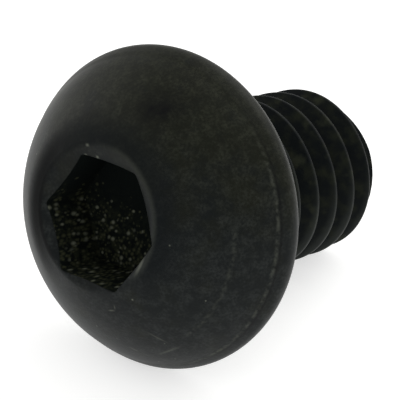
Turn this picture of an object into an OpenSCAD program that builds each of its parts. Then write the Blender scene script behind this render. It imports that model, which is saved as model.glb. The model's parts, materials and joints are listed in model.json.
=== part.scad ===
// Button-head thread-forming screw with a hex socket, 1/4-20 thread, 3/8 in long.
// Headed and thread-rolled from one piece of steel, so it is one solid.
// It lies as it comes to rest: on the rim of its head and on the thread at its tip, head towards -Y.

/* [Head] */
// Diameter of the head
head_d = 11.1; // [9.5:0.1:14]
// Height of the head, from the bearing face to the edge of the socket's mouth
head_h = 3.6; // [3:0.05:4.2]
// Radius of the rounded rim, which runs into the dome
rim_round = 0.7; // [0.5:0.05:0.9]
// Height of the rim's widest line above the bearing face
rim_h = 0.45; // [0.2:0.01:0.48]
// Clearance of the flat bearing face round the thread, which the fillet of the neck fills
seat_clearance = 0.05; // [0.02:0.01:0.3]

/* [Socket] */
// Hex socket, across the flats
hex_af = 3.97; // [2.5:0.01:4.5]
// Depth of the hex below the edge of the mouth
socket_depth = 2.05; // [1.2:0.05:2.3]
// Depth of the shallow cone that the punch leaves in the socket's floor
floor_cone = 0.4; // [0.1:0.05:0.6]
// Clearance of the countersunk mouth round the corners of the hex
mouth_margin = 0.09; // [0.05:0.01:0.4]
// How far the countersink stands off the axis, as the punch left it
mouth_shift = 0.2; // [0:0.01:0.3]
// Direction of that shift
mouth_shift_turn = 120; // [0:1:359]
// Angle between the countersunk mouth and the axis
mouth_angle = 45; // [35:1:60]

/* [Thread] */
// Thread diameter, measured across a lobe and the flat opposite it
thread_d = 6.35; // [5:0.01:7]
// Distance from crest to crest
pitch = 1.27; // [0.8:0.01:1.4]
// Length from the bearing face to the end of the tip
length = 9.525; // [7:0.025:25]
// Rise of the three lobes above the mean radius, which form the mating thread
lobe_rise = 0.08; // [0:0.01:0.15]
// Length of the plain neck between its fillet and the thread
neck_len = 0.3; // [0.1:0.05:2]
// Turns in which the thread grows out of the neck to its full depth
runout_turns = 1; // [0.5:0.05:2]
// Length of the lead, where the thread runs out into the round blank at the tip
lead_len = 0.8; // [0.5:0.05:3]
// Angle between the crests of the lead and the axis
lead_angle = 19; // [5:1:25]
// Turn of the thread about the axis, where a crest passes the bearing face
thread_turn = 349; // [0:1:359]

/* [Hidden] */

// Steps of a round outline, sections in one turn of the thread, and sides of a full turn
arc_steps = 18;
turn_steps = 48;
turn_sides = 96;
// A cut starts this far outside the face that it opens
overcut = 1;

// Thread form: a 60 degree vee with a crowned crest and a hollow root
flank_angle = 30;
thread_depth = 0.6134 * pitch;
crest_half = pitch / 16;
crest_crown = 0.02 * pitch;
root_hollow = 0.03 * pitch;
// Least height that a crest keeps on the lead and at the start of the run-out
least_crest = 0.04 * pitch;
least_flank = least_crest / 4;
// Widest half of a thread's foot, which leaves room for the hollow of the root
widest_foot = 0.45 * pitch;
mean_r = thread_d / 2;
root_r = mean_r - thread_depth;
widest_r = mean_r + lobe_rise;
// Radius that the thread keeps past the end of the tip, where it is cut off
least_core = mean_r / 4;

// Neck: a fillet that ends outside the thread, a plain stretch, and a cone down to below the root
neck_r = mean_r - thread_depth / 2;
neck_fillet = widest_r + seat_clearance - neck_r;
neck_foot = neck_fillet + neck_len;
// The thread starts this far below the skin of the neck
skin = 0.1 * pitch;
neck_end = neck_foot + neck_r - root_r + skin;

// Mouth of the socket, from beyond the hex's corners down past the middle of its flats
mouth_r = hex_af / sqrt(3) + mouth_margin;
mouth_lap = 0.03 * hex_af + mouth_shift;
mouth_foot_r = hex_af / 2 - mouth_lap;

// Dome: a sphere on the axis, at the head's height where the mouth would be, that touches the rim's round
rim_c = head_d / 2 - rim_round;
dome_p = (pow(mouth_r, 2) - pow(rim_c, 2) + pow(head_h, 2) - pow(rim_h, 2) + pow(rim_round, 2))
    / (2 * rim_round);
dome_q = (head_h - rim_h) / rim_round;
dome_a = pow(dome_q, 2) - 1;
dome_b = 2 * (head_h - dome_p * dome_q);
dome_c = pow(dome_p, 2) - pow(mouth_r, 2) - pow(head_h, 2);
dome_z = (-dome_b - sqrt(pow(dome_b, 2) - 4 * dome_a * dome_c)) / (2 * dome_a);
dome_r = dome_p - dome_q * dome_z;

// Points of an arc, from one angle to another
function arc(x, z, r, from, to) =
    [for (i = [0 : arc_steps]) let (t = from + (to - from) * i / arc_steps) [x + r * cos(t), z + r * sin(t)]];

// Half section of the head and neck: neck cone, fillet, bearing face, rim and dome
rim_to_dome = atan2(rim_h - dome_z, rim_c);
head_outline = concat(
    [[0, -neck_end], [root_r - skin, -neck_end], [neck_r, -neck_foot]],
    arc(neck_r + neck_fillet, -neck_fillet, neck_fillet, 180, 90),
    arc(rim_c, rim_h, rim_round, -asin(rim_h / rim_round), rim_to_dome),
    [for (p = arc(0, dome_z, dome_r, rim_to_dome, 90)) if (p[1] > rim_h) p]
);

// Rise of the lobes at an angle: a flat faces the ground and two lobes stand beside it
function lobe(turn) = lobe_rise * cos(3 * (turn - 90));

// Share of the full thread that has grown out of the neck at a depth below the bearing face
function grown(depth) = min(1, max(0, (depth - neck_foot / 2) / (runout_turns * pitch)));

// Share of the full thread that is left on the lead
function left(depth) = min(1, max(0, (length - depth) / lead_len));

// Radius of the crest: it grows out of the neck, and the lead cuts it down towards the tip
function crest_r(depth) =
    let (
        full = neck_r - skin + (mean_r - neck_r + skin) * grown(depth),
        cut = max(0, depth - length + lead_len) * tan(lead_angle)
    )
    max(least_core, min(full, mean_r - cut)) + least_crest * (1 - grown(depth));

// Radius of the root, which stays below the crest and rises on the lead
tip_root_r = crest_r(length) - least_crest;
function valley_r(depth) =
    let (whole = neck_r - skin + (root_r - neck_r + skin) * grown(depth))
    min(tip_root_r + (whole - tip_root_r) * left(depth), crest_r(depth) - least_crest);

// Distance of a flank from the middle of its crest, at a radius
function flank_at(r) = min(widest_foot, crest_half + (mean_r - r) * tan(flank_angle));

// One section of the thread, as [radius, height above the crest's middle], from root to root
function section(depth) =
    let (
        foot = flank_at(valley_r(depth)),
        half = min(flank_at(crest_r(depth) - crest_crown), foot - least_flank)
    )
    [
        [valley_r(depth - foot), foot],
        [crest_r(depth - half) - crest_crown, half],
        [crest_r(depth), 0],
        [crest_r(depth + half) - crest_crown, -half],
        [valley_r(depth + foot), -foot],
        [valley_r(depth + pitch / 2) - root_hollow, -pitch / 2]
    ];

// The threaded shank: sections along a right-hand helix, from inside the head to past the tip
start_depth = -pitch / 2;
turns = ceil((length + pitch - start_depth) / pitch);
last = turns * turn_steps;
rows = len(section(0));

function depth_at(i) = start_depth + i * pitch / turn_steps;

function thread_point(i, p) =
    let (
        depth = depth_at(i),
        turn = thread_turn + 180 - i * 360 / turn_steps,
        r = p[0] + lobe(turn) * grown(depth) * left(depth)
    )
    [r * cos(turn), r * sin(turn), p[1] - depth];

function square_of(a, b, c, d) = [[a, b, c], [a, c, d]];

module threaded_shank() {
    points = concat(
        [for (i = [0 : last], p = section(depth_at(i))) thread_point(i, p)],
        [[0, 0, pitch - start_depth], [0, 0, -(start_depth + (turns + 1) * pitch)]]
    );
    top = rows * (last + 1);
    tip = top + 1;
    sides = [for (i = [0 : last - 1], k = [0 : rows - 2])
        each square_of(rows * i + k, rows * i + k + 1, rows * (i + 1) + k + 1, rows * (i + 1) + k)];
    roots = [for (i = [0 : last - turn_steps - 1]) let (below = i + turn_steps)
        each square_of(rows * (i + 1) - 1, rows * below, rows * (below + 1), rows * (i + 2) - 1)];
    head_end = [for (i = [0 : turn_steps - 1]) [top, rows * i, rows * (i + 1)]];
    tip_end = [for (i = [last - turn_steps : last - 1]) [tip, rows * (i + 2) - 1, rows * (i + 1) - 1]];
    start_cap = concat([top, rows * turn_steps], [for (k = [rows - 1 : -1 : 0]) k]);
    end_cap = concat([tip, rows * (last - turn_steps + 1) - 1], [for (k = [0 : rows - 1]) rows * last + k]);
    intersection() {
        polyhedron(points, concat(sides, roots, head_end, tip_end, [start_cap, end_cap]), convexity = 10);
        translate([0, 0, -length]) cylinder(r = thread_d, h = length + 2 * pitch, $fn = turn_sides);
    }
}

// The hex socket with its countersunk mouth and coned floor
module socket() {
    floor_z = head_h - socket_depth;
    translate([0, 0, floor_z]) cylinder(d = 2 * hex_af / sqrt(3), h = socket_depth + overcut, $fn = 6);
    translate([0, 0, floor_z - floor_cone])
        cylinder(r1 = 0, r2 = hex_af / 2, h = floor_cone, $fn = turn_sides);
    mouth_fall = (mouth_r - mouth_foot_r) / tan(mouth_angle);
    mouth_rise = overcut * tan(mouth_angle);
    rotate(mouth_shift_turn) translate([mouth_shift, 0, head_h - mouth_fall])
        cylinder(r1 = mouth_foot_r, r2 = mouth_r + mouth_rise, h = mouth_fall + overcut, $fn = turn_sides);
}

// Tilt at which a line from the rim's round touches a point of the thread below the axis
function tilt_at(depth, r) =
    let (run = depth + rim_h, drop = rim_c - r)
    atan2(drop, run) + asin(rim_round / norm([run, drop]));

// Crests along the underside, the last of them cut off by the end of the tip
under = 270;
under_depths = [for (k = [1 : turns]) (thread_turn - under) * pitch / 360 + k * pitch];
tilt = min([for (d = under_depths)
    let (
        depth = min(d, length),
        past = max(0, d - length - flank_at(crest_r(depth))),
        cut_r = max(valley_r(depth), crest_r(depth) - past / tan(flank_angle)),
        r = cut_r + lobe(under) * left(depth)
    )
    if (depth > length / 2) tilt_at(depth, r)]);

// Place of the screw's own axes when it lies: height of the axis at the head, and the middle of its length,
// which ends on the dome, at the edge of the mouth or farther out
lift = rim_c * cos(tilt) - rim_h * sin(tilt) + rim_round;
head_reach = dome_z * cos(tilt) + dome_r * cos(max(0, asin(mouth_r / dome_r) - tilt));
tip_reach = length * cos(tilt) + crest_r(length) * sin(tilt);

module lying() {
    translate([0, (head_reach - tip_reach) / 2, lift]) rotate([90 - tilt, 0, 0]) children();
}

module screw() {
    color("#2b2b2a") lying() difference() {
        union() {
            rotate_extrude($fn = turn_sides) polygon(head_outline);
            threaded_shank();
        }
        socket();
    }
}

screw();
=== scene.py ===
import json
import math
from collections import Counter
import bpy
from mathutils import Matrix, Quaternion, Vector


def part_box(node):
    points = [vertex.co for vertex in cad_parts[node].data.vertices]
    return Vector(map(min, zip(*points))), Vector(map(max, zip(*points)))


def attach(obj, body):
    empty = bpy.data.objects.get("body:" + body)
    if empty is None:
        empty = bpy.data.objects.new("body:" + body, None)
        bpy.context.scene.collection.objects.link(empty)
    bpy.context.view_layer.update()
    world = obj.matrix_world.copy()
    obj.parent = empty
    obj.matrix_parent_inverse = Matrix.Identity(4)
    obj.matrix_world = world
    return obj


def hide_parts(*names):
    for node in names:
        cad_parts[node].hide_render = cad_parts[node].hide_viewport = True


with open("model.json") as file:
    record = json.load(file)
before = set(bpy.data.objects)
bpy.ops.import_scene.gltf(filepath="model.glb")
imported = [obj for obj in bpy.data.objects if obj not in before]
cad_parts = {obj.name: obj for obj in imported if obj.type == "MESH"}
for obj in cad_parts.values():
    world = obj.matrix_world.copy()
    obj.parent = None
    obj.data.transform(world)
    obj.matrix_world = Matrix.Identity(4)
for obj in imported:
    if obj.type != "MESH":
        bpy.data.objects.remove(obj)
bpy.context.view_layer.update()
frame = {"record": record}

# The screw is modelled in its own axes, in millimetres: z along its axis, up out of the head, with the
# bearing face at 0. It is then laid down where the frame has it, in metres.
MM = 0.001
mounts = {mount["name"]: mount for mount in frame["record"]["mounts"]}
own_axis = Vector(mounts["hex_socket"]["axis"])
mouth_middle = Vector(mounts["hex_socket"]["pos_m"])
tip_middle = Vector(mounts["thread"]["pos_m"])
bearing_point = Vector(mounts["bearing_face"]["pos_m"])
cad_low, cad_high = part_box("screw")

# Sizes that the frame gives; the screw is kept a hair inside its box and above the ground
inset = 0.01
rest_gap = 0.005
head_d = (cad_high.x - cad_low.x) / MM - 2 * inset
head_h = (mouth_middle - bearing_point).dot(own_axis) / MM
length = (bearing_point - tip_middle).dot(own_axis) / MM
socket_depth = mounts["hex_socket"]["dims"]["length_mm"]
thread_r = mounts["thread"]["dims"]["r_mm"]
bearing_middle = mouth_middle - own_axis * head_h * MM
lying_turn = math.acos(own_axis.z)

# Sizes of the head, in millimetres; the ridge is the small step where the two heading dies met
rim_round = 0.7
rim_h = 0.45
ridge_h = 1.02
ridge_step = 0.016
ridge_width = 0.1
ridge_fade = math.radians(9)
lip_round = 0.3
edge_round = 0.03

# Sizes of the socket: a hex with a coned floor, and a mouth that the punch left off the axis
hex_af = 3.97
hex_corner = hex_af / math.sqrt(3)
hex_corner_round = 0.09
hex_turn = math.radians(30)
mouth_margin = 0.09
mouth_r = hex_corner + mouth_margin
mouth_foot_r = 0.8 * hex_af / 2
mouth_slope = math.radians(25)
mouth_shift = 0.2
mouth_shift_turn = math.radians(120)
mouth_offset = (mouth_shift * math.cos(mouth_shift_turn), mouth_shift * math.sin(mouth_shift_turn), 0)
mouth_fade_r = 4.4
floor_z = head_h - socket_depth
floor_cone = 0.4
floor_cone_r = 0.95 * hex_af / 2
floor_reach = 1.01 * hex_corner

# The dome is a sphere on the axis that touches the rim's round and is at the head's height
# where the edge of the mouth would be
rim_c = head_d / 2 - rim_round
dome_p = (mouth_r**2 - rim_c**2 + head_h**2 - rim_h**2 + rim_round**2) / (2 * rim_round)
dome_q = (head_h - rim_h) / rim_round
dome_a = dome_q**2 - 1
dome_b = head_h - dome_p * dome_q
dome_c = dome_p**2 - mouth_r**2 - head_h**2
dome_z = (-dome_b - math.sqrt(dome_b**2 - dome_a * dome_c)) / dome_a
dome_r = dome_p - dome_q * dome_z

# Sizes of the thread, in millimetres: a 60 degree vee with rounded crests and roots, on three lobes
pitch = 1.27
thread_turn = math.radians(349)
flank_angle = math.radians(30)
thread_depth = 0.6134 * pitch
crest_half = pitch / 16
crest_round = 0.085
root_round = 0.14
root_r = thread_r - thread_depth
lobe_rise = 0.08
lobe_turn = math.pi / 2
lead_len = 0.8
lead_angle = math.radians(19)
least_crest = 0.04 * pitch
tip_root_r = thread_r - lead_len * math.tan(lead_angle) - least_crest

# Sizes of the neck, out of which the thread grows
neck_r = thread_r - thread_depth / 2
seat_clearance = 0.05
neck_fillet = thread_r + lobe_rise + seat_clearance - neck_r
neck_len = 0.3
neck_foot = neck_fillet + neck_len
skin = 0.1 * pitch
neck_end = neck_foot + neck_r - root_r + skin
shank_start = neck_foot / 2

# Steps of a full turn of the head, of the thread and of the punch's point
HEAD_STEPS = 192
THREAD_STEPS = 144
POINT_STEPS = 96

# Steps of the rounds in an outline, and of rounded edges
FILLET_STEPS = 8
RIM_STEPS = 16
RIM_TO_RIDGE_STEPS = 4
DOME_STEPS = 26
LIP_STEPS = 9
CORNER_STEPS = 5
HEX_CORNER_STEPS = 4
EDGE_STEPS = 3

# Angle above which an edge is sharp, distance at which points are merged, and how far a cut starts outside
SMOOTH_ANGLE = math.radians(32)
WELD = 1e-4
OVERCUT = 1
# A face whose normal rises less than this is a wall of the socket
WALL_RISE = 0.3


def arc(x, z, radius, start, end, steps):
    """Points of an arc from one angle to another."""
    turns = [start + (end - start) * i / steps for i in range(steps + 1)]
    return [(x + radius * math.cos(t), z + radius * math.sin(t)) for t in turns]


def rounded(corners, radii):
    """An outline with an arc at each inner corner."""
    points = [corners[0]]
    for before, corner, after, radius in zip(corners, corners[1:], corners[2:], radii):
        middle = Vector(corner)
        to_before = (Vector(before) - middle).normalized()
        to_after = (Vector(after) - middle).normalized()
        half = to_before.angle(to_after) / 2
        centre = middle + (to_before + to_after).normalized() * radius / math.sin(half)
        first = middle + to_before * radius / math.tan(half) - centre
        sweep = first.angle_signed(middle + to_after * radius / math.tan(half) - centre)
        start = math.atan2(first.y, first.x)
        points += arc(centre.x, centre.y, radius, start, start - sweep, CORNER_STEPS)
    return points + [corners[-1]]


def draw_outline(name, points):
    """A wire in the XZ plane: one vertex, extruded from point to point."""
    bpy.ops.object.select_all(action="DESELECT")
    bpy.ops.mesh.primitive_plane_add(size=1)
    piece = bpy.context.object
    piece.name = name
    bpy.ops.object.mode_set(mode="EDIT")
    bpy.ops.mesh.select_mode(type="VERT")
    bpy.ops.mesh.select_all(action="SELECT")
    bpy.ops.mesh.merge(type="CENTER")
    bpy.ops.transform.translate(value=(points[0][0], 0, points[0][1]))
    for (x, z), (next_x, next_z) in zip(points, points[1:]):
        move = (next_x - x, 0, next_z - z)
        bpy.ops.mesh.extrude_region_move(TRANSFORM_OT_translate={"value": move})
    bpy.ops.mesh.select_all(action="SELECT")
    return piece


def weld_and_face_out():
    """Merges what coincides and turns every face outwards, in edit mode."""
    bpy.ops.mesh.select_all(action="SELECT")
    bpy.ops.mesh.remove_doubles(threshold=WELD)
    bpy.ops.mesh.normals_make_consistent(inside=False)


def make_active(piece):
    """Makes a piece the only one that is selected."""
    bpy.ops.object.select_all(action="DESELECT")
    bpy.context.view_layer.objects.active = piece
    piece.select_set(True)


def apply_modifier(piece, kind, **settings):
    """Gives a piece a modifier with its settings and applies it."""
    make_active(piece)
    modifier = piece.modifiers.new(kind.lower(), kind)
    for name, value in settings.items():
        setattr(modifier, name, value)
    bpy.ops.object.modifier_apply(modifier=modifier.name)


def combine(piece, other, operation):
    """Joins another closed shape to a piece, or cuts it out."""
    apply_modifier(piece, "BOOLEAN", operation=operation, solver="EXACT", object=other)
    bpy.data.objects.remove(other)


def head_outline():
    """Half section of the neck and head, from the axis below to the axis in the socket's mouth."""
    # The lip's round touches the inside of the dome and the slope of the mouth
    inward = math.cos(mouth_slope)
    downward = math.sin(mouth_slope)
    line_x = mouth_r + lip_round * downward
    line_z = head_h - lip_round * inward - dome_z
    along = inward * line_x + downward * line_z
    down = along - math.sqrt(along**2 - line_x**2 - line_z**2 + (dome_r - lip_round) ** 2)
    lip_x = line_x - down * inward
    lip_z = line_z - down * downward + dome_z
    # The dome meets a small step above the rim, where the two dies met
    rim_end = math.atan2(rim_h - dome_z, rim_c)
    ridge = math.asin((ridge_h - dome_z) / dome_r)
    lip_start = math.atan2(lip_z - dome_z, lip_x)
    step_width = ridge_width / dome_r
    dome = []
    for i in range(DOME_STEPS):
        t = ridge + step_width + (lip_start - ridge - step_width) * i / DOME_STEPS
        fade = min(1, (t - ridge) / ridge_fade)
        r = dome_r - ridge_step * (1 - fade) ** 2
        dome.append((r * math.cos(t), dome_z + r * math.sin(t)))
    mouth_fall = (mouth_r - mouth_foot_r) * math.tan(mouth_slope)
    return (
        [(0, -neck_end), (root_r - skin, -neck_end), (neck_r, -neck_foot)]
        + arc(neck_r + neck_fillet, -neck_fillet, neck_fillet, math.pi, math.pi / 2, FILLET_STEPS)
        + arc(rim_c, rim_h, rim_round, -math.asin(rim_h / rim_round), rim_end, RIM_STEPS)
        + arc(0, dome_z, dome_r, rim_end, ridge, RIM_TO_RIDGE_STEPS)[1:]
        + dome
        + arc(lip_x, lip_z, lip_round, lip_start, math.pi / 2 + mouth_slope, LIP_STEPS)
        + [(mouth_foot_r, head_h - mouth_fall), (0, head_h - mouth_fall)]
    )


def swing_mouth(head):
    """Swings the mouth about the dome's middle to where the punch left it.

    The dome round it swings less and less with its distance from the axis.
    """
    hinge = Vector((-math.sin(mouth_shift_turn), math.cos(mouth_shift_turn), 0))
    middle = Vector((0, 0, dome_z))
    for vertex in head.data.vertices:
        reach = (mouth_fade_r - vertex.co.xy.length) / (mouth_fade_r - mouth_r)
        if vertex.co.z > rim_h and reach > 0:
            share = min(1, reach)
            swing = mouth_shift / (head_h - dome_z) * share * share * (3 - 2 * share)
            vertex.co = middle + Quaternion(hinge, swing) @ (vertex.co - middle)


def cut_hex(head):
    """Cuts the hex of the socket, with rounded corners."""
    bpy.ops.object.select_all(action="DESELECT")
    bpy.ops.mesh.primitive_cylinder_add(
        vertices=6,
        radius=hex_corner,
        depth=socket_depth + OVERCUT,
        location=(0, 0, head_h + (OVERCUT - socket_depth) / 2),
        rotation=(0, 0, hex_turn),
    )
    hex_punch = bpy.context.object
    bpy.ops.object.mode_set(mode="EDIT")
    bpy.ops.mesh.select_mode(type="EDGE")
    bpy.ops.mesh.select_all(action="DESELECT")
    bpy.ops.object.mode_set(mode="OBJECT")
    for edge in hex_punch.data.edges:
        low, high = (hex_punch.data.vertices[v].co for v in edge.vertices)
        edge.select = abs(high.z - low.z) > OVERCUT
    bpy.ops.object.mode_set(mode="EDIT")
    bpy.ops.mesh.bevel(offset=hex_corner_round, segments=HEX_CORNER_STEPS, affect="EDGES")
    bpy.ops.object.mode_set(mode="OBJECT")
    combine(head, hex_punch, "DIFFERENCE")


def cut_floor_cone(head):
    """Cuts the shallow cone that the punch left in the socket's floor."""
    bpy.ops.object.select_all(action="DESELECT")
    bpy.ops.mesh.primitive_cone_add(
        vertices=POINT_STEPS,
        radius1=0,
        radius2=floor_cone_r * (1 + OVERCUT / floor_cone),
        depth=floor_cone + OVERCUT,
        location=(0, 0, floor_z + (OVERCUT - floor_cone) / 2),
    )
    point_punch = bpy.context.object
    bpy.ops.object.mode_set(mode="EDIT")
    bpy.ops.mesh.select_all(action="SELECT")
    bpy.ops.mesh.bisect(
        plane_co=(0, 0, floor_z + WELD),
        plane_no=(0, 0, 1),
        use_fill=True,
        clear_outer=True,
    )
    bpy.ops.object.mode_set(mode="OBJECT")
    combine(head, point_punch, "DIFFERENCE")


def round_edges(head):
    """Rounds the sharp edges of the head, except at the socket's floor, where the punch left them sharp."""
    make_active(head)
    bpy.ops.object.mode_set(mode="EDIT")
    bpy.ops.mesh.select_mode(type="EDGE")
    bpy.ops.mesh.select_all(action="DESELECT")
    bpy.ops.mesh.edges_select_sharp(sharpness=SMOOTH_ANGLE)
    bpy.ops.object.mode_set(mode="OBJECT")
    vertices = head.data.vertices
    for vertex in vertices:
        on_floor = abs(vertex.co.z - floor_z) < edge_round
        if on_floor and vertex.co.xy.length < floor_reach:
            vertex.select = False
    for edge in head.data.edges:
        edge.select = edge.select and all(vertices[v].select for v in edge.vertices)
    bpy.ops.object.mode_set(mode="EDIT")
    bpy.ops.mesh.bevel(offset=edge_round, segments=EDGE_STEPS, affect="EDGES", clamp_overlap=False)
    bpy.ops.object.mode_set(mode="OBJECT")


def make_head():
    """Head and neck: the half section, spun about the axis, with the socket cut in."""
    head = draw_outline("head", head_outline())
    bpy.ops.mesh.spin(steps=HEAD_STEPS, angle=2 * math.pi, center=(0, 0, 0), axis=(0, 0, 1))
    weld_and_face_out()
    bpy.ops.object.mode_set(mode="OBJECT")
    swing_mouth(head)
    cut_hex(head)
    cut_floor_cone(head)
    round_edges(head)
    return head


def shape_thread(shank):
    """Moves the thread in and out: it grows out of the neck, runs out at the tip and has three lobes."""
    start_r = neck_r - skin
    for vertex in shank.data.vertices:
        x, y, z = vertex.co
        depth = -z
        turn = math.atan2(y, x)
        share = (math.hypot(x, y) - root_r) / thread_depth
        grown = min(1, max(0, (depth - shank_start) / pitch))
        left = min(1, max(0, (length - depth) / lead_len))
        cut = max(0, depth - length + lead_len) * math.tan(lead_angle)
        crest = min(start_r + (thread_r - start_r) * grown, thread_r - cut)
        whole = start_r + (root_r - start_r) * grown
        valley = min(tip_root_r + (whole - tip_root_r) * left, crest - least_crest)
        lobe = lobe_rise * grown * left * math.cos(3 * (turn - lobe_turn))
        r = valley + (crest - valley) * share + lobe
        vertex.co = (r * math.cos(turn), r * math.sin(turn), z)


def make_shank():
    """Threaded shank: one tooth's outline, screwed along the axis and cut off at the tip."""
    foot = crest_half + thread_depth * math.tan(flank_angle)
    tooth = rounded(
        [
            (root_r, pitch / 2),
            (root_r, foot),
            (thread_r, crest_half),
            (thread_r, -crest_half),
            (root_r, -foot),
            (root_r, -pitch / 2),
        ],
        [root_round, crest_round, crest_round, root_round],
    )
    # The thread is made a turn longer than the screw at both ends, and then cut to length
    turns = math.ceil(length / pitch) + 2
    shank = draw_outline("shank", [(r, z - turns * pitch) for r, z in tooth])
    bpy.ops.object.mode_set(mode="OBJECT")
    apply_modifier(
        shank,
        "SCREW",
        axis="Z",
        angle=2 * math.pi,
        screw_offset=pitch,
        iterations=turns + 2,
        steps=THREAD_STEPS,
        render_steps=THREAD_STEPS,
        use_merge_vertices=True,
        merge_threshold=WELD,
    )
    shank.rotation_euler = (0, 0, thread_turn)
    bpy.ops.object.transform_apply(location=True, rotation=True, scale=True)
    shape_thread(shank)
    bpy.ops.object.mode_set(mode="EDIT")
    weld_and_face_out()
    for height, side in ((-shank_start, 1), (-length, -1)):
        bpy.ops.mesh.select_all(action="SELECT")
        bpy.ops.mesh.bisect(
            plane_co=(0, 0, height),
            plane_no=(0, 0, side),
            use_fill=True,
            clear_outer=True,
        )
    weld_and_face_out()
    bpy.ops.object.mode_set(mode="OBJECT")
    return shank


def drop_seam_joints(piece):
    """Dissolves the vertices with only two edges, which the cuts leave along their seams."""
    make_active(piece)
    bpy.ops.object.mode_set(mode="EDIT")
    bpy.ops.mesh.select_mode(type="VERT")
    bpy.ops.mesh.select_all(action="DESELECT")
    bpy.ops.object.mode_set(mode="OBJECT")
    edge_counts = Counter(v for edge in piece.data.edges for v in edge.vertices)
    for vertex in piece.data.vertices:
        vertex.select = edge_counts[vertex.index] == 2
    bpy.ops.object.mode_set(mode="EDIT")
    bpy.ops.mesh.dissolve_verts()
    bpy.ops.object.mode_set(mode="OBJECT")


def select_socket(piece):
    """Selects the walls and the floor of the socket, by their place."""
    for polygon in piece.data.polygons:
        x, y, z = polygon.center
        inside = math.hypot(x, y) < hex_corner and floor_z - floor_cone < z < head_h
        on_floor = z < floor_z + edge_round
        polygon.select = inside and (on_floor or polygon.normal.z < WALL_RISE)


def select_shank(piece):
    """Selects everything below the bearing face."""
    for polygon in piece.data.polygons:
        polygon.select = polygon.center.z < -WELD


def make_screw(dome_coat, socket_coat, shank_coat):
    """The whole screw: head and shank in one piece, with its three finishes, laid down on the ground."""
    screw = make_head()
    combine(screw, make_shank(), "UNION")
    drop_seam_joints(screw)
    screw.name = "socket_screw"
    make_active(screw)
    for coat in (dome_coat, socket_coat, shank_coat):
        screw.data.materials.append(coat)
    for polygon in screw.data.polygons:
        polygon.material_index = 0
    bpy.ops.object.mode_set(mode="EDIT")
    bpy.ops.mesh.select_mode(type="FACE")
    bpy.ops.object.mode_set(mode="OBJECT")
    for index, select in ((1, select_socket), (2, select_shank)):
        bpy.ops.object.mode_set(mode="EDIT")
        bpy.ops.mesh.select_all(action="DESELECT")
        bpy.ops.object.mode_set(mode="OBJECT")
        select(screw)
        bpy.ops.object.mode_set(mode="EDIT")
        screw.active_material_index = index
        bpy.ops.object.material_slot_assign()
        bpy.ops.object.mode_set(mode="OBJECT")
    screw.scale = (MM, MM, MM)
    screw.rotation_euler = (lying_turn, 0, 0)
    screw.location = bearing_middle + Vector((0, 0, rest_gap * MM))
    bpy.ops.object.transform_apply(location=True, rotation=True, scale=True)
    bpy.ops.object.shade_smooth_by_angle(angle=SMOOTH_ANGLE)
    return screw


def colour(code):
    """Linear colour of an sRGB hex value."""
    parts = [int(code[i:i + 2], 16) / 255 for i in (1, 3, 5)]
    linear = [p / 12.92 if p <= 0.04045 else ((p + 0.055) / 1.055) ** 2.4 for p in parts]
    return (*linear, 1)


def add(tree, kind, inputs=(), **settings):
    """Adds a shader node with its settings, its values and its links, and gives its outputs."""
    node = tree.nodes.new("ShaderNode" + kind)
    for name, value in settings.items():
        setattr(node, name, value)
    for socket, value in dict(inputs).items():
        if isinstance(value, bpy.types.NodeSocket):
            tree.links.new(value, node.inputs[socket])
        else:
            node.inputs[socket].default_value = value
    return node.outputs


def new_material(name):
    """A material with an empty tree of nodes."""
    material = bpy.data.materials.new(name)
    material.use_nodes = True
    tree = material.node_tree
    tree.nodes.clear()
    return material, tree


# In a Map Range, socket 0 is the value, 1 and 2 are the limits, and 3 and 4 what they give, or else 0 and 1.
# In a Mix, socket 0 is the share, 6 the colour below and 7 the colour that is laid over it.
SMOOTH = {"interpolation_type": "SMOOTHSTEP"}
TINTS = {"data_type": "RGBA"}


def own_place(tree):
    """The screw's own axes, in millimetres, from Object coordinates."""
    laid_down = {
        "Vector": add(tree, "TexCoord")["Object"],
        "Location": bearing_middle,
        "Rotation": (lying_turn, 0, 0),
        "Scale": (MM, MM, MM),
    }
    return add(tree, "Mapping", laid_down, vector_type="TEXTURE")["Vector"]


def axis_reach(tree, place, middle):
    """Distance from a line along the axis, through a point."""
    offset = add(tree, "VectorMath", {0: place, 1: middle}, operation="SUBTRACT")["Vector"]
    flat = add(tree, "VectorMath", {0: offset, 1: (1, 1, 0)}, operation="MULTIPLY")["Vector"]
    return add(tree, "VectorMath", {0: flat}, operation="LENGTH")["Value"]


def band(tree, value, middle, half_width, most=1.0):
    """A band that is strongest in its middle and fades away towards its edges."""
    offset = add(tree, "Math", {0: value, 1: middle}, operation="SUBTRACT")[0]
    distance = add(tree, "Math", {0: offset}, operation="ABSOLUTE")[0]
    return add(tree, "MapRange", {0: distance, 1: half_width, 2: 0.0, 4: most}, **SMOOTH)[0]


def sector(tree, turn, start, end, soft):
    """1 between two turns about the axis, in degrees, with soft ends."""
    start_limits = {0: turn, 1: math.radians(start - soft), 2: math.radians(start)}
    begun = add(tree, "MapRange", start_limits, **SMOOTH)[0]
    end_limits = {0: turn, 1: math.radians(end + soft), 2: math.radians(end), 4: begun}
    return add(tree, "MapRange", end_limits, **SMOOTH)[0]


def scratch(tree, place, start, end, half_width):
    """A straight scratch between two points, seen along the axis, that fades towards its ends."""
    along = Vector(end) - Vector(start)
    stretched = {
        "Vector": place,
        "Location": (*start, 0),
        "Rotation": (0, 0, math.atan2(along.y, along.x)),
        "Scale": (along.length, half_width, 1),
    }
    local = add(tree, "Mapping", stretched, vector_type="TEXTURE")["Vector"]
    split = add(tree, "SeparateXYZ", {"Vector": local})
    lengthwise = band(tree, split["X"], 0.5, 0.5)
    return band(tree, split["Y"], 0.0, 1.0, lengthwise)


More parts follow.
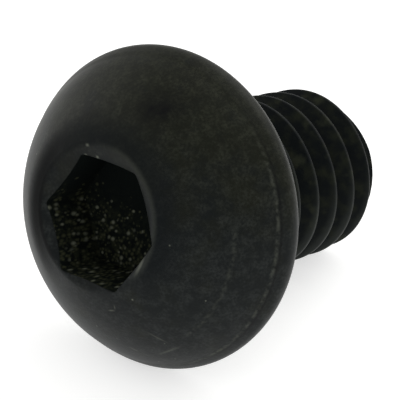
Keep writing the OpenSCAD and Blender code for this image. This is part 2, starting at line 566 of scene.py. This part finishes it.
def grit(tree, place, cell, size, share):
    """Soft round specks in a share of the cells of a loose grid, up to a size in millimetres."""
    cells = add(tree, "TexVoronoi", {"Vector": place, "Scale": 1 / cell})
    chance = add(tree, "SeparateColor", {"Color": cells["Color"]})
    chosen = add(tree, "Math", {0: chance["Red"], 1: share}, operation="LESS_THAN")[0]
    # From the full size down to half of it
    largest = size / cell
    reach = add(tree, "Math", {0: chance["Green"], 1: -largest / 2, 2: largest}, operation="MULTIPLY_ADD")[0]
    return add(tree, "MapRange", {0: cells["Distance"], 1: reach, 2: 0.0, 4: chosen}, **SMOOTH)[0]


def strongest(tree, marks):
    """The strongest of several marks at each place, each given with its strength."""
    total = 0.0
    for mark, strength in marks:
        shown = add(tree, "Math", {0: mark, 1: strength}, operation="MULTIPLY")[0]
        total = add(tree, "Math", {0: shown, 1: total}, operation="MAXIMUM")[0]
    return total


def oxide_shader(tree, tint, roughness, grain, shine, grain_depth):
    """The conversion coat: an oxide, so not metallic, with its grain raised by a depth in millimetres."""
    bump = add(tree, "Bump", {"Height": grain, "Strength": 1.0, "Distance": grain_depth * MM})["Normal"]
    coat = {"Base Color": tint, "Roughness": roughness, "Specular IOR Level": shine, "Normal": bump}
    shader = add(tree, "BsdfPrincipled", coat)["BSDF"]
    add(tree, "OutputMaterial", {"Surface": shader})


# Sizes of the patterns, in millimetres. The crystals of black oxide are finer than a pixel,
# so the two grains are drawn as coarse as they need to be to show in the render.
DOME_GRAIN = 0.09
ROUGH_GRAIN = 0.1
# On the dome: olive blotches, light patches, soot of the smudge, frayed edges of the wear, and dust
BLOTCH = 0.8
LIGHT_PATCH = 0.35
SOOT = 0.3
FRAY = 0.16
DUST_CELL = 0.35
DUST_SPECK = 0.06
# In the socket: drifts of grit, haze of finer grit, brassy specks and pale ones, which are grit with painted
# glints
DRIFT = 0.8
HAZE = 0.22
BRASS_CELL = 0.12
BRASS_SPECK = 0.1
PALE_CELL = 0.17
PALE_SPECK = 0.11
# On the thread: dust, patches of a thicker film, and uneven rubbing
THREAD_DUST = 0.45
FILM = 0.7
RUBBING = 0.6

# Where the dome's marks lie, in millimetres, and half of the width of those that are bands.
# Grey turns to olive between two heights across the axis, as the screw lies.
OLIVE_START = -1.0
OLIVE_END = 5.0
# From the middle of the mouth: where the dull ring is full and where it ends, on its near and far side
# (painted shade darkens the far side), the soft edge and the painted highlight band of the lip, and the
# painted shade of the fold on it
DULL_FULL = 2.6
NEAR_END = 3.7
FAR_END = 3.6
LIP_INSIDE = mouth_r - 0.2
LIP_OUTSIDE = mouth_r + 0.1
LIP_HIGHLIGHT_HALF = 0.16
FOLD_SHADE_R = mouth_r + 0.02
FOLD_SHADE_HALF = 0.12
# Up from the bearing face: the painted shade in the crease below the ridge, and the rubbed edge above it
CREASE_SHADE_Z = ridge_h - 0.05
CREASE_SHADE_HALF = 0.08
RIDGE_Z = ridge_h + 0.05
RIDGE_HALF = 0.09
# From the axis: the ring that the die left
DIE_RING_R = 4.42
DIE_RING_HALF = 0.09
AXIS = (0, 0, 0)

# Sides of the dome that the marks lie on: start, end and softness, in degrees about the axis
NEAR_SIDE = (-10, 130, 45)
RIDGE_SIDE = (-45, 20, 45)
DIE_RING_SIDE = (-40, 10, 8)
LIP_HIGHLIGHT_SIDE = (-10, 70, 40)

# The way that the grit slid in the socket, and a squeeze that draws its specks out along the axis
GRIT_DOWN = (-0.25, -0.97, 0)
GRIT_SQUEEZE = (1, 1, 0.5)

# Distances from the axis between which the crests of the thread turn rubbed
RUBBED_START = thread_r - 0.16
RUBBED_FULL = thread_r + 0.14

# Scratches on the dome: both ends, seen along the axis, half of the width, in millimetres, and strength
SCRATCHES = (
    ((1.95, -3.2), (2.65, -3.6), 0.06, 0.3),
    ((1.85, -4.4), (3.05, -3.5), 0.06, 0.3),
    ((1.0, -4.25), (1.35, -4.4), 0.06, 0.4),
    ((0.74, -2.8), (1.1, -2.68), 0.05, 0.5),
    ((1.07, -2.45), (1.07, -2.68), 0.04, 0.4),
    ((2.1, -0.3), (1.78, -1.3), 0.12, 0.7),
    ((-1.0, 2.35), (-0.8, 2.4), 0.08, 0.7),
    ((-1.08, 1.98), (-0.92, 2.0), 0.08, 0.9),
    ((-0.63, 2.04), (-0.47, 2.06), 0.08, 0.9),
)

# A dark smudge above the mouth: both ends and half of the width
SMUDGE = ((-0.3, 3.9), (2.2, 4.05), 0.75)


def black_oxide():
    """Black oxide on the cold-headed dome: satin, near black, mottled grey and olive, worn and scratched,
    with painted shade and a painted highlight.
    """
    material, tree = new_material("black_oxide_steel")
    place = own_place(tree)
    split = add(tree, "SeparateXYZ", {"Vector": place})
    turn = add(tree, "Math", {0: split["Y"], 1: split["X"]}, operation="ARCTAN2")[0]
    radius = axis_reach(tree, place, AXIS)
    mouth_reach = axis_reach(tree, place, mouth_offset)
    grain = add(tree, "TexNoise", {"Vector": place, "Scale": 1 / DOME_GRAIN, "Detail": 3.0})["Fac"]

    # Grey towards the lower side, olive towards the upper one, with a lighter mottling
    lean = add(tree, "MapRange", {0: split["Y"], 1: OLIVE_START, 2: OLIVE_END}, **SMOOTH)[0]
    blotch = add(tree, "TexNoise", {"Vector": place, "Scale": 1 / BLOTCH, "Detail": 6.0})["Fac"]
    blotch = add(tree, "Math", {0: lean, 1: 0.4, 2: blotch}, operation="MULTIPLY_ADD")[0]
    olive = add(tree, "MapRange", {0: blotch, 1: 0.45, 2: 0.9}, **SMOOTH)[0]
    tint = add(tree, "Mix", {0: olive, 6: colour("#0e1212"), 7: colour("#14160e")}, **TINTS)[2]
    light = add(tree, "Mix", {0: lean, 6: colour("#292c2b"), 7: colour("#2d2f24")}, **TINTS)[2]
    patch = add(tree, "TexNoise", {"Vector": place, "Scale": 1 / LIGHT_PATCH, "Detail": 4.0})["Fac"]
    mottle = add(tree, "Math", {0: grain, 1: patch}, operation="MULTIPLY")[0]
    mottle = add(tree, "MapRange", {0: mottle, 1: 0.14, 2: 0.48, 4: 0.7}, **SMOOTH)[0]
    tint = add(tree, "Mix", {0: mottle, 6: tint, 7: light}, **TINTS)[2]

    # Bluish and dull round the near side of the mouth; dull round its far side too, where painted shade
    # makes it nearly black
    outside = add(tree, "MapRange", {0: mouth_reach, 1: LIP_INSIDE, 2: LIP_OUTSIDE}, **SMOOTH)[0]
    near = sector(tree, turn, *NEAR_SIDE)
    near = add(tree, "MapRange", {0: mouth_reach, 1: NEAR_END, 2: DULL_FULL, 4: near}, **SMOOTH)[0]
    bluish = add(tree, "Math", {0: outside, 1: 0.3, 2: 0.4}, operation="MULTIPLY_ADD")[0]
    bluish = add(tree, "Math", {0: near, 1: bluish}, operation="MULTIPLY")[0]
    tint = add(tree, "Mix", {0: bluish, 6: tint, 7: colour("#0b0f11")}, **TINTS)[2]
    far = add(tree, "MapRange", {0: split["X"], 1: -1.0, 2: -3.0, 4: outside}, **SMOOTH)[0]
    far = add(tree, "MapRange", {0: mouth_reach, 1: FAR_END, 2: DULL_FULL, 4: far}, **SMOOTH)[0]
    # Painted shade: the dome on the far side of the mouth is darkened nearly to black
    far_painted_shade = add(tree, "Math", {0: far, 1: 0.95}, operation="MULTIPLY")[0]
    tint = add(tree, "Mix", {0: far_painted_shade, 6: tint, 7: colour("#020303")}, **TINTS)[2]
    near = add(tree, "Math", {0: near, 1: outside}, operation="MULTIPLY")[0]
    dull = strongest(tree, [(near, 0.6), (far, 1.0)])
    roughness = add(tree, "Math", {0: dull, 1: 0.5, 2: 0.42}, operation="MULTIPLY_ADD")[0]

    # Painted shade in the crease below the ridge where the dies met and in the fold at the left of the lip,
    # and the dark smudge
    right = sector(tree, turn, *RIDGE_SIDE)
    crease_painted_shade = band(tree, split["Z"], CREASE_SHADE_Z, CREASE_SHADE_HALF, right)
    # Painted shadow along the fold at the outer left edge of the lip
    left = add(tree, "MapRange", {0: split["X"], 1: -1.2, 2: -2.0}, **SMOOTH)[0]
    left = add(tree, "MapRange", {0: split["Y"], 1: 1.0, 2: -0.3, 4: left}, **SMOOTH)[0]
    fold_painted_shade = band(tree, mouth_reach, FOLD_SHADE_R, FOLD_SHADE_HALF, left)
    soot = add(tree, "TexNoise", {"Vector": place, "Scale": 1 / SOOT, "Detail": 4.0})["Fac"]
    smudge = add(tree, "Math", {0: scratch(tree, place, *SMUDGE), 1: soot}, operation="MULTIPLY")[0]
    # Painted shade of the crease and the fold, together with the real smudge, all in one darker colour
    painted_shade_and_smudge = strongest(tree, [(crease_painted_shade, 0.6), (fold_painted_shade, 0.8), (smudge, 1.7)])
    tint = add(tree, "Mix", {0: painted_shade_and_smudge, 6: tint, 7: colour("#050606")}, **TINTS)[2]

    # Rubbed lighter on the ridge and on the die's ring, a painted highlight along one side of the lip;
    # scratches and specks of dust
    ridge = band(tree, split["Z"], RIDGE_Z, RIDGE_HALF, right)
    ring = band(tree, radius, DIE_RING_R, DIE_RING_HALF, sector(tree, turn, *DIE_RING_SIDE))
    worn = strongest(tree, [(ridge, 1.0), (ring, 0.6)])
    fray = add(tree, "TexNoise", {"Vector": place, "Scale": 1 / FRAY, "Detail": 4.0})["Fac"]
    worn = add(tree, "MapRange", {0: fray, 1: 0.35, 2: 0.7, 4: worn}, **SMOOTH)[0]
    # Painted highlight along one side of the lip
    lip_painted_highlight = band(tree, mouth_reach, mouth_r, LIP_HIGHLIGHT_HALF, sector(tree, turn, *LIP_HIGHLIGHT_SIDE))
    specks = grit(tree, place, DUST_CELL, DUST_SPECK, 0.04)
    marks = [(worn, 0.3), (lip_painted_highlight, 0.12), (specks, 1.0)]
    for start, end, half_width, strength in SCRATCHES:
        marks.append((scratch(tree, place, start, end, half_width), strength))
    wear_and_painted_highlight = add(tree, "Math", {0: strongest(tree, marks), 1: 0.6}, operation="MULTIPLY")[0]
    tint = add(tree, "Mix", {0: wear_and_painted_highlight, 6: tint, 7: colour("#73766a")}, **TINTS)[2]

    oxide_shader(tree, tint, roughness, grain, shine=0.09, grain_depth=0.004)
    return material


def gritty_oxide():
    """The same coat in the punched socket: matt, with brassy grit that gathered at the lower side, and pale
    grit with painted glints.
    """
    material, tree = new_material("gritty_black_oxide")
    place = own_place(tree)
    grain = add(tree, "TexNoise", {"Vector": place, "Scale": 1 / ROUGH_GRAIN, "Detail": 3.0})["Fac"]

    # More and more grit towards the lower side, in drifts, with a haze of finer grit between the specks
    down = add(tree, "VectorMath", {0: place, 1: GRIT_DOWN}, operation="DOT_PRODUCT")["Value"]
    drift = add(tree, "TexNoise", {"Vector": place, "Scale": 1 / DRIFT, "Detail": 2.0})["Fac"]
    drift = add(tree, "Math", {0: drift, 1: 1.6, 2: down}, operation="MULTIPLY_ADD")[0]
    share = add(tree, "MapRange", {0: drift, 1: 0.2, 2: 2.4}, **SMOOTH)[0]
    haze = add(tree, "TexNoise", {"Vector": place, "Scale": 1 / HAZE, "Detail": 3.0})["Fac"]
    haze = add(tree, "MapRange", {0: haze, 1: 0.42, 2: 0.68, 4: share}, **SMOOTH)[0]
    tint = add(tree, "Mix", {0: haze, 6: colour("#0d1110"), 7: colour("#20231a")}, **TINTS)[2]

    squeezed = add(tree, "VectorMath", {0: place, 1: GRIT_SQUEEZE}, operation="MULTIPLY")["Vector"]
    brass_share = add(tree, "Math", {0: share, 1: 0.9}, operation="MULTIPLY")[0]
    brass = grit(tree, squeezed, BRASS_CELL, BRASS_SPECK, brass_share)
    tint = add(tree, "Mix", {0: brass, 6: tint, 7: colour("#383a2a")}, **TINTS)[2]
    # Pale specks: real grit, painted light as glints where it catches the light
    pale_share = add(tree, "Math", {0: share, 1: 0.4}, operation="MULTIPLY")[0]
    pale_grit_and_glint = grit(tree, squeezed, PALE_CELL, PALE_SPECK, pale_share)
    pale_grit_and_glint = add(tree, "Math", {0: pale_grit_and_glint, 1: 0.7}, operation="MULTIPLY")[0]
    tint = add(tree, "Mix", {0: pale_grit_and_glint, 6: tint, 7: colour("#727566")}, **TINTS)[2]

    oxide_shader(tree, tint, 0.75, grain, shine=0.03, grain_depth=0.012)
    return material


def worn_oxide():
    """The same coat on the rolled thread: rubbed lighter on the crests, with olive dust between them."""
    material, tree = new_material("worn_black_oxide")
    place = own_place(tree)
    split = add(tree, "SeparateXYZ", {"Vector": place})
    grain = add(tree, "TexNoise", {"Vector": place, "Scale": 1 / ROUGH_GRAIN, "Detail": 3.0})["Fac"]

    dust = add(tree, "TexNoise", {"Vector": place, "Scale": 1 / THREAD_DUST, "Detail": 2.0})["Fac"]
    dust = add(tree, "MapRange", {0: dust, 1: 0.38, 2: 0.85}, **SMOOTH)[0]
    tint = add(tree, "Mix", {0: dust, 6: colour("#0d1112"), 7: colour("#20231a")}, **TINTS)[2]
    film = add(tree, "TexNoise", {"Vector": place, "Scale": 1 / FILM, "Detail": 3.0})["Fac"]
    film = add(tree, "MapRange", {0: film, 1: 0.54, 2: 0.78, 4: 0.5}, **SMOOTH)[0]
    tint = add(tree, "Mix", {0: film, 6: tint, 7: colour("#383b2c")}, **TINTS)[2]

    # The crests are rubbed lighter unevenly, and are lighter still towards the lower side
    lower = add(tree, "MapRange", {0: split["Y"], 1: 2.5, 2: -1.5}, **SMOOTH)[0]
    uneven = add(tree, "TexNoise", {"Vector": place, "Scale": 1 / RUBBING, "Detail": 2.0})["Fac"]
    radius = axis_reach(tree, place, AXIS)
    reach = add(tree, "Math", {0: uneven, 1: 0.12, 2: radius}, operation="MULTIPLY_ADD")[0]
    rubbed = add(tree, "MapRange", {0: reach, 1: RUBBED_START, 2: RUBBED_FULL, 4: lower}, **SMOOTH)[0]
    tint = add(tree, "Mix", {0: rubbed, 6: tint, 7: colour("#2c2f2d")}, **TINTS)[2]

    oxide_shader(tree, tint, 0.5, grain, shine=0.05, grain_depth=0.006)
    return material


def opal_acrylic():
    """Opal acrylic of a light table, which glows a little and so keeps shadows faint."""
    material, tree = new_material("opal_acrylic")
    sheet = {
        "Base Color": colour("#d8d8d6"),
        "Roughness": 0.9,
        "Specular IOR Level": 0.1,
        "Emission Color": colour("#ffffff"),
        "Emission Strength": 0.6,
    }
    shader = add(tree, "BsdfPrincipled", sheet)["BSDF"]
    add(tree, "OutputMaterial", {"Surface": shader})
    return material


# Size of the floor, in metres
FLOOR_SIZE = 3


def make_floor():
    """The light table that the screw lies on."""
    bpy.ops.object.select_all(action="DESELECT")
    bpy.ops.mesh.primitive_plane_add(size=FLOOR_SIZE)
    floor = bpy.context.object
    floor.name = "floor"
    floor.data.materials.append(opal_acrylic())


# The camera, turned and raised as in the photograph. Distance and shifts of its aim are in millimetres,
# the shifts from the middle of the bearing face to the middle of the picture.
CAMERA_AZIMUTH = math.radians(36.86)
CAMERA_ELEVATION = math.radians(29.26)
CAMERA_DISTANCE = 49.2
CAMERA_RIGHT = 1.237
CAMERA_DOWN = -0.221
IMAGE_PIXELS = 400
FOCAL_PIXELS = 1444
SENSOR = 36
CLIP_START = 0.001


def make_camera():
    """The camera, at the photograph's viewing angle."""
    right = Vector((math.cos(CAMERA_AZIMUTH), math.sin(CAMERA_AZIMUTH), 0))
    level = Vector((-math.sin(CAMERA_AZIMUTH), math.cos(CAMERA_AZIMUTH), 0))
    forward = level * math.cos(CAMERA_ELEVATION) - Vector((0, 0, math.sin(CAMERA_ELEVATION)))
    down = forward.cross(right)
    aim = bearing_middle + (right * CAMERA_RIGHT + down * CAMERA_DOWN) * MM
    bpy.ops.object.camera_add(
        location=aim - forward * CAMERA_DISTANCE * MM,
        rotation=(math.pi / 2 - CAMERA_ELEVATION, 0, CAMERA_AZIMUTH),
    )
    camera = bpy.context.object
    camera.data.sensor_width = SENSOR
    camera.data.lens = FOCAL_PIXELS / IMAGE_PIXELS * SENSOR
    camera.data.clip_start = CLIP_START
    bpy.context.scene.camera = camera


# Soft lights: name, place and size in metres, and power; all of them face the middle of the screw
SOFTBOXES = (
    ("left_softbox", (-0.22, -0.05, 0.12), 0.2, 0.1),
    ("back_softbox", (0.05, 0.2, 0.2), 0.25, 0.3),
)
SOFTBOX_AIM = Vector((0, 0, 0.005))
STUDIO_COLOUR = "#ffffff"
STUDIO_STRENGTH = 0.75


def light_the_studio():
    """A white room and two soft lights."""
    scene = bpy.context.scene
    scene.view_settings.view_transform = "Standard"
    world = bpy.data.worlds.new("studio")
    scene.world = world
    world.use_nodes = True
    background = world.node_tree.nodes["Background"]
    background.inputs["Color"].default_value = colour(STUDIO_COLOUR)
    background.inputs["Strength"].default_value = STUDIO_STRENGTH
    for name, place, size, power in SOFTBOXES:
        bpy.ops.object.light_add(type="AREA", location=place)
        light = bpy.context.object
        light.name = name
        light.data.size = size
        light.data.energy = power
        light.rotation_euler = (SOFTBOX_AIM - Vector(place)).to_track_quat("-Z", "Y").to_euler()


screw = make_screw(black_oxide(), gritty_oxide(), worn_oxide())
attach(screw, "root")
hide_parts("screw")
make_floor()
make_camera()
light_the_studio()
